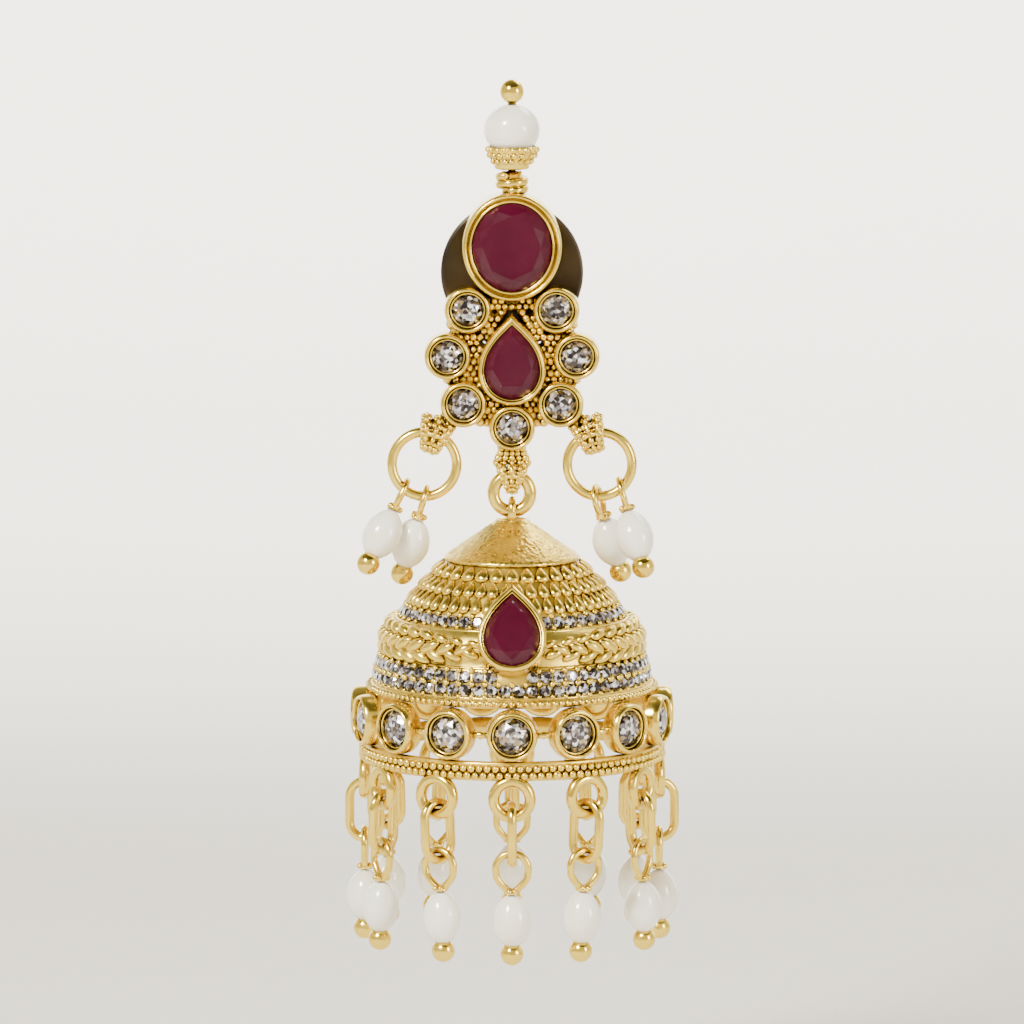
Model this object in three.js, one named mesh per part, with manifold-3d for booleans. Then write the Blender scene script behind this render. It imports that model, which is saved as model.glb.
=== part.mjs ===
// Jhumka earring: a ruby and crystal stud with a hollow openwork bell hanging from it.
// Millimetres, +Z up, the front faces -Y. The origin is the centre of the backing disc's rear
// face, where the post leaves it and the ear lobe begins.

import * as THREE from 'three';
import * as BufferGeometryUtils from 'three/addons/utils/BufferGeometryUtils.js';
import Module from 'manifold-3d';

const wasm = await Module();
wasm.setup();

// ---- Driving dimensions ------------------------------------------------------------------

const GAP = 0.1;               // clearance between neighbouring pieces
const HANG_Y = -1.5;           // plane in which the rings and the bell hang

const DISC = { radius: 4.47, thick: 0.6, sides: 40 };
const POST = { radius: 0.45, length: 10.5, sides: 12 };
const PUSH_BACK = { radius: 4.0, collar: 1.6, bore: 0.65, near: 5.2, flange: 0.8, far: 8.6 };

const BEZEL_BACK = -DISC.thick - GAP;
const FLOOR = 0.5;             // metal behind each stone
const STONE_GAP = 0.08;
const OVAL = { z: 1.73, rx: 3.1, rz: 3.375, wall: 0.6, front: -3.0, stoneProud: 0.25 };
const PEAR = { length: 5.7, half: 2.125, wall: 0.38, depth: 2.1, stoneProud: 0.2 };
const PEAR_TIP_Z = -2.5;
const ROUND = { radius: 1.45, wall: 0.34, front: -2.6, stoneProud: 0.12 };
const ROUND_SEATS = [
    { x: -2.77, z: -2.24 }, { x: 2.77, z: -2.24 },
    { x: -4.04, z: -5.15 }, { x: 4.04, z: -5.15 },
    { x: -3.04, z: -8.16 }, { x: 3.04, z: -8.16 },
    { x: 0, z: -9.63 },
];

// Granules that solder the bezels together: right-hand half, mirrored to the left.
const GRANULES = [
    { x: 0, z: -2.05, r: 0.6 }, { x: 0.75, z: -2.0, r: 0.6 }, { x: 1.86, z: -0.94, r: 0.55 },
    { x: 1.15, z: -2.85, r: 0.5 }, { x: 1.55, z: -3.4, r: 0.5 }, { x: 3.42, z: -3.7, r: 0.5 },
    { x: 2.35, z: -5.54, r: 0.5 }, { x: 3.54, z: -6.66, r: 0.5 }, { x: 1.8, z: -7.3, r: 0.5 },
    { x: 1.52, z: -8.9, r: 0.55 }, { x: 0.75, z: -8.4, r: 0.5 },
];
const GRANULE_Y = -1.4;

const NECK = { bottom: 4.9, top: 6.45, radius: 1.0, turns: 3, bore: 0.35 };
const CAP = { bottom: 6.55, top: 8.0, foot: 1.0, mouth: 1.67 };
const TOP_PEARL = { z: 9.0, radius: 1.75, squat: 0.92 };
const TOP_PIN = { radius: 0.25, ball: 0.75, ballZ: 11.4, bottom: 5.6 };

const BAIL = { z: -13.83, radius: 1.15, wire: 0.4 };
const SIDE_RING = { x: 5.5, z: -12.0, radius: 2.03, wire: 0.32 };
const KNOT = { radius: 0.8, wire: 0.31 };
const SIDE_KNOT = { x: 4.85, z: -10.08 };

const BELL_BACK_SHIFT = 0.15;  // places the bell's centre of mass under its eye
const EYE = { radius: 0.73, wire: 0.24 };
const BELL_SIDES = 30;
const BELL_OUTER = [
    { r: 1.0, z: -15.7 }, { r: 1.35, z: -15.95 }, { r: 4.2, z: -17.75 }, { r: 5.5, z: -19.1 },
    { r: 6.9, z: -20.9 }, { r: 7.3, z: -21.5 }, { r: 8.35, z: -22.2 }, { r: 8.3, z: -23.6 },
    { r: 8.8, z: -24.2 }, { r: 8.9, z: -25.8 }, { r: 9.4, z: -26.1 }, { r: 9.4, z: -29.6 },
    { r: 9.7, z: -29.75 }, { r: 9.7, z: -30.65 },
];
const BELL_INNER = [
    { r: 8.8, z: -30.65 }, { r: 8.8, z: -26.3 }, { r: 7.9, z: -24.6 }, { r: 7.3, z: -22.6 },
    { r: 5.9, z: -20.6 }, { r: 3.6, z: -18.2 },
];
const BELL_ROOF_Z = -16.9;

const BELL_PEAR = { z: -22.1, reach: 6.3, lean: THREE.MathUtils.degToRad(26) };
const DRUM = { count: 15, z: -27.8, radius: 1.65, pocket: 1.15, inner: 8.95, outer: 10.1, deep: 0.45 };
const WINDOW = { top: -26.25, bottom: -29.45, bar: 0.2, wide: 1.0, narrow: 0.22 };

const FRINGE = { count: 12, radius: 9.3 };
const LOOP = { z: -31.8, radius: 1.12, wire: 0.36 };
const LINK = { width: 2.6, length: 4.2, wire: 0.29 };
const PIN_LOOP = { width: 2.5, length: 2.9, wire: 0.23 };
const RICE = { radius: 1.22, length: 3.35, ball: 0.72 };

// How each fringe strand hangs: tangential lean and how far its link has turned, in degrees.
const STRANDS = [
    { lean: 0, turn: 0 }, { lean: 3, turn: 20 }, { lean: -3, turn: -24 }, { lean: 2, turn: 16 },
    { lean: -2, turn: -10 }, { lean: 3, turn: 22 }, { lean: 0, turn: 12 }, { lean: -3, turn: -20 },
    { lean: 2, turn: 10 }, { lean: -2, turn: -18 }, { lean: 3, turn: 24 }, { lean: -3, turn: -20 },
];

// Drops on the side rings: where along the ring, outward lean, backward lean and loop turn.
const SIDE_DROPS = [
    { side: -1, x: 6.8, out: 26, back: -18, turn: 0 },
    { side: -1, x: 5.5, out: 16, back: 10, turn: 0 },
    { side: 1, x: 6.85, out: 16, back: -21, turn: 0 },
    { side: 1, x: 5.35, out: 17, back: 14, turn: 15 },
];
const SIDE_LOOP = { width: 2.1, length: 2.4, wire: 0.2 };

// ---- Materials ---------------------------------------------------------------------------

const finish = (color, roughness, metalness) =>
    () => new THREE.MeshStandardMaterial({ color, roughness, metalness });
const gold = finish(0xc9973c, 0.25, 1.0);
const darkDisc = finish(0x3a2c1e, 0.35, 0.6);
const ruby = finish(0x64202f, 0.12, 0.0);
const crystal = finish(0xdde0e8, 0.05, 0.0);
const pearl = finish(0xece8dc, 0.25, 0.0);

// ---- Solid tools -------------------------------------------------------------------------

// Turns a closed three.js geometry into a solid for cutting and joining.
function solidOf(geometry) {
    const bare = geometry.clone();
    bare.deleteAttribute('normal');
    bare.deleteAttribute('uv');
    const merged = BufferGeometryUtils.mergeVertices(bare, 1e-4);
    return new wasm.Manifold(new wasm.Mesh({
        numProp: 3,
        vertProperties: new Float32Array(merged.attributes.position.array),
        triVerts: new Uint32Array(merged.index.array),
    }));
}

function geometryOf(solid) {
    const data = solid.getMesh();
    const geometry = new THREE.BufferGeometry();
    geometry.setAttribute('position', new THREE.BufferAttribute(data.vertProperties, 3));
    geometry.setIndex(new THREE.BufferAttribute(data.triVerts, 1));
    geometry.computeVertexNormals();
    return geometry;
}

// Joins the first list into one solid and cuts the second list out of it.
function fuse(parts, cutters = []) {
    let solid = solidOf(parts[0]);
    for (const part of parts.slice(1)) solid = solid.add(solidOf(part));
    for (const cutter of cutters) solid = solid.subtract(solidOf(cutter));
    return geometryOf(solid);
}

function lathe(rows, sides) {
    return new THREE.LatheGeometry(rows.map(({ r, z }) => new THREE.Vector2(r, z)), sides)
        .rotateX(Math.PI / 2);
}

// A flat outline in XZ, thickened from y = back to y = front.
function plate(shape, back, front, bevel = 0, segments = 6) {
    const options = { depth: back - front - 2 * bevel, bevelEnabled: bevel > 0, curveSegments: segments };
    Object.assign(options, { bevelSize: bevel, bevelOffset: -bevel, bevelThickness: bevel, bevelSegments: 1 });
    return new THREE.ExtrudeGeometry(shape, options)
        .rotateX(Math.PI / 2)
        .translate(0, back - bevel, 0);
}

function ellipse(x, z, rx, rz) {
    const shape = new THREE.Shape();
    shape.absellipse(x, z, rx, rz, 0, 2 * Math.PI);
    return shape;
}

// Pear outline, point up, its tip at z = tip; inset moves the whole outline inwards.
function pearOutline(tip, inset = 0) {
    const r = PEAR.half - inset;
    const centre = tip - PEAR.length + PEAR.half;
    const point = tip - 1.6 * inset;
    const rise = point - centre;
    const shape = new THREE.Shape();
    shape.moveTo(0, point);
    shape.bezierCurveTo(-0.35 * r, point - 0.22 * rise, -r, centre + 0.5 * rise, -r, centre);
    shape.absarc(0, centre, r, Math.PI, 2 * Math.PI, false);
    shape.bezierCurveTo(r, centre + 0.5 * rise, 0.35 * r, point - 0.22 * rise, 0, point);
    return shape;
}

// A wire ring lying in XZ; a link longer than wide has straight sides.
function wireRing(width, length, wire, around = 10, section = 4) {
    const radius = width / 2 - wire;
    const ring = new THREE.TorusGeometry(radius, wire, section, around).rotateZ(Math.PI / around);
    const stretch = (length - width) / 2;
    const at = ring.attributes.position;
    for (let i = 0; i < at.count; i++) at.setY(i, at.getY(i) + Math.sign(at.getY(i)) * stretch);
    return ring.rotateX(Math.PI / 2);
}

function piece(name, geometry, material) {
    const mesh = new THREE.Mesh(geometry, material());
    mesh.name = name;
    return mesh;
}

// ---- Stud --------------------------------------------------------------------------------

function discAndPost() {
    const disc = new THREE.CylinderGeometry(DISC.radius, DISC.radius, DISC.thick, DISC.sides)
        .translate(0, -DISC.thick / 2, 0);
    const embed = DISC.thick / 2;
    const post = new THREE.CylinderGeometry(POST.radius, POST.radius, POST.length + embed, POST.sides)
        .translate(0, (POST.length - embed) / 2, 0);
    return fuse([disc, post]);
}

function pushBack() {
    const { radius, collar, bore, near, flange, far } = PUSH_BACK;
    const rows = [
        { r: bore, z: -near }, { r: bore, z: -far }, { r: collar, z: -far },
        { r: collar, z: -near - flange }, { r: radius, z: -near - flange }, { r: radius, z: -near },
        { r: bore, z: -near },
    ];
    return lathe(rows, 24).rotateX(Math.PI / 2);
}

// Each setting is a cup: its outline made solid, and the pocket that the stone drops into.
function stoneSettings() {
    const cups = [plate(ellipse(0, OVAL.z, OVAL.rx, OVAL.rz), BEZEL_BACK, OVAL.front, 0.15, 9)];
    const pockets = [plate(ellipse(0, OVAL.z, OVAL.rx - OVAL.wall, OVAL.rz - OVAL.wall),
        BEZEL_BACK - FLOOR, OVAL.front - 1, 0, 9)];
    cups.push(plate(pearOutline(PEAR_TIP_Z), BEZEL_BACK, BEZEL_BACK - PEAR.depth, 0.12));
    pockets.push(plate(pearOutline(PEAR_TIP_Z, PEAR.wall), BEZEL_BACK - FLOOR, BEZEL_BACK - PEAR.depth - 1));
    for (const { x, z } of ROUND_SEATS) {
        cups.push(plate(ellipse(x, z, ROUND.radius, ROUND.radius), BEZEL_BACK, ROUND.front, 0.12, 5));
        const inner = ROUND.radius - ROUND.wall;
        pockets.push(plate(ellipse(x, z, inner, inner), BEZEL_BACK - FLOOR, ROUND.front - 1, 0, 4));
    }
    return { cups, pockets };
}

function granules() {
    const balls = [];
    for (const { x, z, r } of GRANULES) {
        for (const side of x === 0 ? [1] : [-1, 1]) {
            balls.push(new THREE.IcosahedronGeometry(r, 0).translate(side * x, GRANULE_Y, z));
        }
    }
    return balls;
}

// Three turns of wire round a stem with a blind hole for the head pin.
function coiledNeck() {
    const rows = [{ r: 0, z: NECK.bottom }];
    const pitch = (NECK.top - NECK.bottom) / NECK.turns;
    for (let turn = 0; turn < NECK.turns; turn++) {
        const z = NECK.bottom + turn * pitch;
        rows.push({ r: NECK.radius - 0.22, z }, { r: NECK.radius, z: z + 0.3 * pitch });
        rows.push({ r: NECK.radius, z: z + 0.7 * pitch });
    }
    rows.push({ r: NECK.radius - 0.22, z: NECK.top }, { r: NECK.bore, z: NECK.top });
    rows.push({ r: NECK.bore, z: TOP_PIN.bottom - GAP }, { r: 0, z: TOP_PIN.bottom - GAP });
    return lathe(rows, 14).translate(0, HANG_Y, 0);
}

// Knots are loops of granulation closed round the wire of the ring they carry.
function knotRing() {
    const across = 2 * (KNOT.radius + KNOT.wire);
    return wireRing(across, across, KNOT.wire, 10, 5).rotateZ(Math.PI / 2);
}

function hangingKnots() {
    const bailTop = BAIL.z + BAIL.radius;
    const knots = [knotRing().translate(0, HANG_Y, bailTop)];
    knots.push(new THREE.BoxGeometry(2.0, 1.1, 1.25).translate(0, HANG_Y, bailTop + 1.15));
    const slope = Math.atan2(SIDE_RING.x - SIDE_KNOT.x, SIDE_KNOT.z - SIDE_RING.z);
    for (const side of [-1, 1]) {
        knots.push(knotRing().rotateY(-side * slope).translate(side * SIDE_KNOT.x, HANG_Y, SIDE_KNOT.z));
        knots.push(new THREE.IcosahedronGeometry(0.62, 0)
            .translate(side * (SIDE_KNOT.x - 0.75), HANG_Y, SIDE_KNOT.z + 0.85));
    }
    return knots;
}

function studFrame() {
    const { cups, pockets } = stoneSettings();
    return fuse([...cups, ...granules(), coiledNeck(), ...hangingKnots()], pockets);
}

function ovalStone() {
    const shrink = OVAL.wall + STONE_GAP;
    return plate(ellipse(0, OVAL.z, OVAL.rx - shrink, OVAL.rz - shrink),
        BEZEL_BACK - FLOOR - GAP, OVAL.front - OVAL.stoneProud, 0.5, 8);
}

function pearStone(tip, back) {
    const front = back - PEAR.depth - PEAR.stoneProud;
    return plate(pearOutline(tip, PEAR.wall + STONE_GAP), back - FLOOR - GAP, front, 0.4, 5);
}

function roundStone({ x, z }) {
    const radius = ROUND.radius - ROUND.wall - STONE_GAP;
    return plate(ellipse(x, z, radius, radius), BEZEL_BACK - FLOOR - GAP,
        ROUND.front - ROUND.stoneProud, 0.3, 3);
}

function beadCap() {
    const bore = NECK.bore;
    const seat = TOP_PEARL.radius + GAP;
    const rows = [{ r: bore, z: CAP.bottom }, { r: CAP.foot, z: CAP.bottom }];
    rows.push({ r: CAP.foot + 0.15, z: CAP.bottom + 0.35 }, { r: CAP.mouth, z: CAP.top - 0.25 });
    rows.push({ r: CAP.mouth - 0.05, z: CAP.top });
    for (const angle of [48, 32, 20]) {
        const turn = THREE.MathUtils.degToRad(angle);
        rows.push({ r: seat * Math.sin(turn), z: TOP_PEARL.z - seat * Math.cos(turn) });
    }
    rows.push({ r: bore, z: TOP_PEARL.z - Math.sqrt(seat ** 2 - bore ** 2) }, { r: bore, z: CAP.bottom });
    return lathe(rows, 20).translate(0, HANG_Y, 0);
}

function topPearl() {
    const { z, radius, squat } = TOP_PEARL;
    const tilt = Math.asin(NECK.bore / radius);
    const steps = 9;
    const rows = [];
    for (let i = 0; i <= steps; i++) {
        const turn = tilt + (Math.PI - 2 * tilt) * i / steps;
        rows.push({ r: radius * Math.sin(turn), z: z - squat * radius * Math.cos(turn) });
    }
    rows.push({ ...rows[0] });
    return lathe(rows, 18).translate(0, HANG_Y, 0);
}

function topPin() {
    const { radius, ball, ballZ, bottom } = TOP_PIN;
    const rows = [{ r: 0, z: bottom }, { r: radius, z: bottom }];
    for (let angle = 160; angle > 0; angle -= 28) {
        const turn = THREE.MathUtils.degToRad(angle);
        rows.push({ r: ball * Math.sin(turn), z: ballZ + ball * Math.cos(turn) });
    }
    rows.push({ r: 0, z: ballZ + ball });
    return lathe(rows, 12).translate(0, HANG_Y, 0);
}

// ---- Hanging pieces ----------------------------------------------------------------------

// A rice pearl on its pin: loop on top, end ball below. The top of the loop's hole is z = 0.
function pearlDrop(loop, turn) {
    const shoulder = loop.wire - loop.length + 0.1;
    const rows = [{ r: 0, z: shoulder + 0.25 }, { r: 0.4, z: shoulder }];
    for (const part of [0.06, 0.22, 0.5, 0.78, 0.94]) {
        const bulge = Math.sin(Math.PI * part) ** 0.55;
        rows.push({ r: RICE.radius * bulge, z: shoulder - RICE.length * part });
    }
    const bottom = shoulder - RICE.length - 0.55 * RICE.ball;
    rows.push({ r: 0.4, z: bottom + 0.75 * RICE.ball }, { r: RICE.ball, z: bottom });
    rows.push({ r: 0.5 * RICE.ball, z: bottom - 0.8 * RICE.ball }, { r: 0, z: bottom - RICE.ball });
    const body = lathe(rows.reverse(), 8);
    const ring = wireRing(loop.width, loop.length, loop.wire, 8, 4)
        .rotateZ(turn)
        .translate(0, 0, loop.wire - loop.length / 2);
    return fuse([body, ring]);
}

function sideRing(side) {
    const across = 2 * (SIDE_RING.radius + SIDE_RING.wire);
    return wireRing(across, across, SIDE_RING.wire, 16, 5).translate(side * SIDE_RING.x, HANG_Y, SIDE_RING.z);
}

function sideDrop({ side, x, out, back, turn }) {
    const mesh = new THREE.Group();
    const dx = x - SIDE_RING.x;
    const wireZ = SIDE_RING.z - Math.sqrt(SIDE_RING.radius ** 2 - dx ** 2);
    mesh.position.set(side * x, HANG_Y, wireZ);
    mesh.rotation.set(THREE.MathUtils.degToRad(back), THREE.MathUtils.degToRad(side * -out), 0, 'YXZ');
    const geometry = pearlDrop(SIDE_LOOP, Math.PI / 2 - THREE.MathUtils.degToRad(turn))
        .translate(0, 0, SIDE_RING.wire + 2.5 * GAP);
    return { group: mesh, geometry };
}

// ---- Bell --------------------------------------------------------------------------------

const bailBottom = BAIL.z - BAIL.radius;

function bellWall() {
    const rows = [...BELL_OUTER, ...BELL_INNER, { r: 0, z: BELL_ROOF_Z }];
    return lathe([{ r: 0, z: BELL_OUTER[0].z }, ...rows].reverse(), BELL_SIDES);
}

function bellPearFrame() {
    const placed = new THREE.Matrix4().makeRotationX(-BELL_PEAR.lean);
    placed.setPosition(0, -BELL_PEAR.reach, BELL_PEAR.z);
    return placed;
}

function drumBezels() {
    const cups = [];
    const pockets = [];
    for (let i = 0; i < DRUM.count; i++) {
        const turn = 2 * Math.PI * i / DRUM.count;
        const long = DRUM.outer - DRUM.inner;
        const cup = new THREE.CylinderGeometry(DRUM.radius, DRUM.radius, long, 12);
        cups.push(cup.translate(0, -DRUM.inner - long / 2, DRUM.z).rotateZ(turn));
        const pocket = new THREE.CylinderGeometry(DRUM.pocket, DRUM.pocket, 2 * DRUM.deep, 8);
        pockets.push(pocket.translate(0, -DRUM.outer, DRUM.z).rotateZ(turn));
    }
    return { cups, pockets };
}

// Fan-shaped windows above and below the bar that joins each two bezels.
function drumWindows() {
    const cutters = [];
    for (let i = 0; i < DRUM.count; i++) {
        const turn = 2 * Math.PI * (i + 0.5) / DRUM.count;
        for (const edge of [WINDOW.top, WINDOW.bottom]) {
            const bar = DRUM.z + Math.sign(edge - DRUM.z) * WINDOW.bar;
            const shape = new THREE.Shape();
            shape.moveTo(-WINDOW.wide, edge);
            shape.lineTo(WINDOW.wide, edge);
            shape.lineTo(WINDOW.narrow, bar);
            shape.lineTo(-WINDOW.narrow, bar);
            cutters.push(plate(shape, -DRUM.inner + 1, -DRUM.outer - 1).rotateZ(turn));
        }
    }
    return cutters;
}

function rimLoops() {
    const across = 2 * (LOOP.radius + LOOP.wire);
    const loops = [];
    for (let i = 0; i < FRINGE.count; i++) {
        const ring = wireRing(across, across, LOOP.wire, 12, 4).translate(0, -FRINGE.radius, LOOP.z);
        loops.push(ring.rotateZ(2 * Math.PI * i / FRINGE.count));
    }
    return loops;
}

function bellEye() {
    const across = 2 * (EYE.radius + EYE.wire);
    const loop = wireRing(across, across, EYE.wire, 12, 5).rotateZ(Math.PI / 2);
    return loop.translate(0, -BELL_BACK_SHIFT, bailBottom);
}

function bellDome() {
    const { cups, pockets } = drumBezels();
    const pearCup = plate(pearOutline(PEAR.length / 2), 1.2, -PEAR.depth, 0.12)
        .applyMatrix4(bellPearFrame());
    const pearPocket = plate(pearOutline(PEAR.length / 2, PEAR.wall), -FLOOR, -PEAR.depth - 1)
        .applyMatrix4(bellPearFrame());
    const hollow = lathe([
        { r: 0, z: BELL_ROOF_Z }, ...[...BELL_INNER].reverse(), { r: BELL_INNER[0].r, z: -31.5 },
        { r: 0, z: -31.5 },
    ].reverse(), BELL_SIDES);
    const metal = fuse([bellWall(), ...cups, pearCup], [hollow, pearPocket, ...pockets, ...drumWindows()]);
    return fuse([metal, ...rimLoops(), bellEye()]);
}

// ---- Assembly ----------------------------------------------------------------------------

const earring = new THREE.Group();

earring.add(piece('lobe_disc', discAndPost(), darkDisc));
earring.add(piece('push_back', pushBack(), gold));
earring.add(piece('stud_frame', studFrame(), gold));
earring.add(piece('stone_oval', ovalStone(), ruby));
earring.add(piece('stone_pear', pearStone(PEAR_TIP_Z, BEZEL_BACK), ruby));
ROUND_SEATS.forEach((seat, i) => earring.add(piece(`stone_round_${i + 1}`, roundStone(seat), crystal)));
earring.add(piece('bead_cap', beadCap(), gold));
earring.add(piece('top_pearl', topPearl(), pearl));
earring.add(piece('top_pin', topPin(), gold));

earring.add(piece('side_ring_l', sideRing(-1), gold));
earring.add(piece('side_ring_r', sideRing(1), gold));
SIDE_DROPS.forEach((row, i) => {
    const { group, geometry } = sideDrop(row);
    group.add(piece(`side_drop_${i + 1}`, geometry, pearl));
    earring.add(group);
});

const bailAcross = 2 * (BAIL.radius + BAIL.wire);
const bailRing = wireRing(bailAcross, bailAcross, BAIL.wire, 14, 6).translate(0, HANG_Y, BAIL.z);
earring.add(piece('bail_ring', bailRing, gold));

const bell = new THREE.Group();
bell.position.set(0, HANG_Y + BELL_BACK_SHIFT, 0);
bell.add(piece('bell_dome', bellDome(), gold));
const bellStone = pearStone(PEAR.length / 2, 0).applyMatrix4(bellPearFrame());
bell.add(piece('bell_pear', bellStone, ruby));

STRANDS.forEach(({ lean, turn }, i) => {
    const number = String(i + 1).padStart(2, '0');
    const strand = new THREE.Group();
    strand.rotation.z = 2 * Math.PI * i / FRINGE.count;
    const swing = new THREE.Group();
    swing.position.set(0, -FRINGE.radius, LOOP.z - LOOP.radius);
    swing.rotation.y = THREE.MathUtils.degToRad(lean);
    const linkTop = LOOP.wire + GAP + 2 * LINK.wire;
    const link = wireRing(LINK.width, LINK.length, LINK.wire)
        .rotateZ(Math.PI / 2 + THREE.MathUtils.degToRad(turn))
        .translate(0, 0, linkTop - LINK.length / 2);
    swing.add(piece(`link_${number}`, link, gold));
    const hook = linkTop - LINK.length + 2 * LINK.wire + GAP + PIN_LOOP.wire;
    swing.add(piece(`drop_${number}`, pearlDrop(PIN_LOOP, 0).translate(0, 0, hook), pearl));
    strand.add(swing);
    bell.add(strand);
});
earring.add(bell);

export default earring;
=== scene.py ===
"""Looks of the jhumka earring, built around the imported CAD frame.

Shapes are worked out in millimetres, in the row frame (+Z up, front facing -Y), and become metres
when they turn into Blender meshes. Ornament that faces the viewer is made facing -Y.
"""
import math

import bmesh
import bpy
import numpy as np
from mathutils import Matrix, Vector


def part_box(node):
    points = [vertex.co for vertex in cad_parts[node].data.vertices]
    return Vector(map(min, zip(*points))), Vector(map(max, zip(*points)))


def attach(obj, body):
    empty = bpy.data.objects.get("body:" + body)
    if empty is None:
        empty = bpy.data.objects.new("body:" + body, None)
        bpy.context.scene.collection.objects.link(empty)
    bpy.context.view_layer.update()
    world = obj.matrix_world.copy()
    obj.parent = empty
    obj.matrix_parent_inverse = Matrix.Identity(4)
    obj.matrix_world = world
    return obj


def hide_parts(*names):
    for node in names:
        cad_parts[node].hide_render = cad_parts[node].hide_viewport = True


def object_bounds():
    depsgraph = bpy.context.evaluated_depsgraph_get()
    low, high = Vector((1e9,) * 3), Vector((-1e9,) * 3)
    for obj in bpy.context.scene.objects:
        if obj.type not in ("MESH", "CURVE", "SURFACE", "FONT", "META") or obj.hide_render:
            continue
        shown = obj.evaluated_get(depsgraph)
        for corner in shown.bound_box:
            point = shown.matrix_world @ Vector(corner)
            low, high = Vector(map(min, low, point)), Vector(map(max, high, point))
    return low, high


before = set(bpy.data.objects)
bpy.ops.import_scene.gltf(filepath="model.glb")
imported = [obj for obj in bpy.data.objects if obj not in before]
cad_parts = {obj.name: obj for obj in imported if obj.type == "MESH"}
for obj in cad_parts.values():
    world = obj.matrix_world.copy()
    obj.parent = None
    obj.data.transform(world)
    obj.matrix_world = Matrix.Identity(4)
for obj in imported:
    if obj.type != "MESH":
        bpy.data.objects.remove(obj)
CAD_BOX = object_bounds()

MM = 0.001
TAU = 2 * math.pi
RNG = np.random.default_rng(7)


# ---- Places from the frame ------------------------------------------------------------------

def node_box(name):
    """Lowest and highest corner of a CAD node, in millimetres."""
    low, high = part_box(name)
    return np.array(low) / MM, np.array(high) / MM


def node_centre(name):
    low, high = node_box(name)
    return (low + high) / 2


HANG_Y = node_centre("bail_ring")[1]
BAIL = node_centre("bail_ring")
BAIL_R, BAIL_WIRE = 1.15, 0.4
LOOP_Z, LOOP_R, LOOP_WIRE = -31.8, 1.12, 0.36
FRINGE_R = 9.3
FRINGE_COUNT = 12
BELL_Y = HANG_Y + 0.15
BELL_AXIS = np.array([0.0, BELL_Y, 0.0])

# How each fringe strand hangs: tangential lean and how far its link has turned, in degrees.
STRANDS = [
    (0, 0), (3, 20), (-3, -24), (2, 16), (-2, -10), (3, 22),
    (0, 12), (-3, -20), (2, 10), (-2, -18), (3, 24), (-3, -20),
]
LINK = {"width": 2.6, "length": 4.2, "wire": 0.29}
PIN_LOOP = {"width": 2.5, "length": 2.9, "wire": 0.23}
SIDE_LOOP = {"width": 2.1, "length": 2.4, "wire": 0.2}
RICE = {"radius": 1.22, "length": 3.35, "ball": 0.72}
GAP = 0.1

# Side drops: side, place along the ring, outward lean, backward lean, loop turn.
SIDE_DROPS = [(-1, 6.8, 26, -18, 0), (-1, 5.5, 16, 10, 0), (1, 6.85, 16, -21, 0), (1, 5.35, 17, 14, 15)]
SIDE_RING = {"x": 5.5, "z": -12.0, "radius": 2.03, "wire": 0.32}
SIDE_KNOT = {"x": 4.85, "z": -10.08}

OVAL = {"z": 1.73, "rx": 3.1, "rz": 3.375, "front": -3.0}
PEAR = {"length": 5.7, "half": 2.125, "depth": 2.1}
PEAR_TIP_Z = -2.5
ROUND_R, ROUND_FRONT = 1.45, -2.6
BEZEL_BACK = -0.7
ROUND_SEATS = [(node_centre(f"stone_round_{i}")[0], node_centre(f"stone_round_{i}")[2]) for i in range(1, 8)]
BELL_PEAR = {"z": -22.1, "reach": 6.3, "lean": math.radians(26)}
DRUM = {"count": 15, "z": -27.8, "radius": 1.58, "inner": 8.95, "outer": 10.1}


# ---- Shapes: (points, [faces, ...]) with faces as rows of point numbers ---------------------

def grid(points, wrap_u=False, wrap_v=False):
    nu, nv = points.shape[:2]
    a, b = np.meshgrid(np.arange(nu if wrap_u else nu - 1),
                       np.arange(nv if wrap_v else nv - 1), indexing="ij")
    a2, b2 = (a + 1) % nu, (b + 1) % nv
    quads = np.stack([a * nv + b, a2 * nv + b, a2 * nv + b2, a * nv + b2], -1)
    return points.reshape(-1, 3), [quads.reshape(-1, 4)]


def join(shapes):
    points, faces, base = [], [], 0
    for verts, lists in shapes:
        points.append(verts)
        faces += [f + base for f in lists]
        base += len(verts)
    return np.concatenate(points), faces


def moved(shape, matrix):
    points, faces = shape
    return points @ matrix[:3, :3].T + matrix[:3, 3], faces


def shifted(shape, x=0.0, y=0.0, z=0.0):
    return shape[0] + np.array([x, y, z]), shape[1]


def copies(shape, matrices):
    """One shape at many places; matrices is (count, 4, 4)."""
    points, faces = shape
    matrices = np.asarray(matrices)
    count, size = len(matrices), len(points)
    out = np.einsum("kij,nj->kni", matrices[:, :3, :3], points) + matrices[:, None, :3, 3]
    base = (np.arange(count) * size)[:, None, None]
    return out.reshape(-1, 3), [(f[None] + base).reshape(-1, f.shape[1]) for f in faces]


def matrix_of(x_axis, y_axis, z_axis, origin):
    m = np.eye(4)
    m[:3, 0], m[:3, 1], m[:3, 2], m[:3, 3] = x_axis, y_axis, z_axis, origin
    return m


def at(x=0.0, y=0.0, z=0.0, scale=(1.0, 1.0, 1.0)):
    m = np.diag([*scale, 1.0])
    m[:3, 3] = x, y, z
    return m


def turn(axis, angle):
    """A rotation about one of the row's axes, in radians."""
    c, s = math.cos(angle), math.sin(angle)
    m = np.eye(4)
    i, j = {"x": (1, 2), "y": (2, 0), "z": (0, 1)}[axis]
    m[i, i], m[i, j], m[j, i], m[j, j] = c, -s, s, c
    return m


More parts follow.
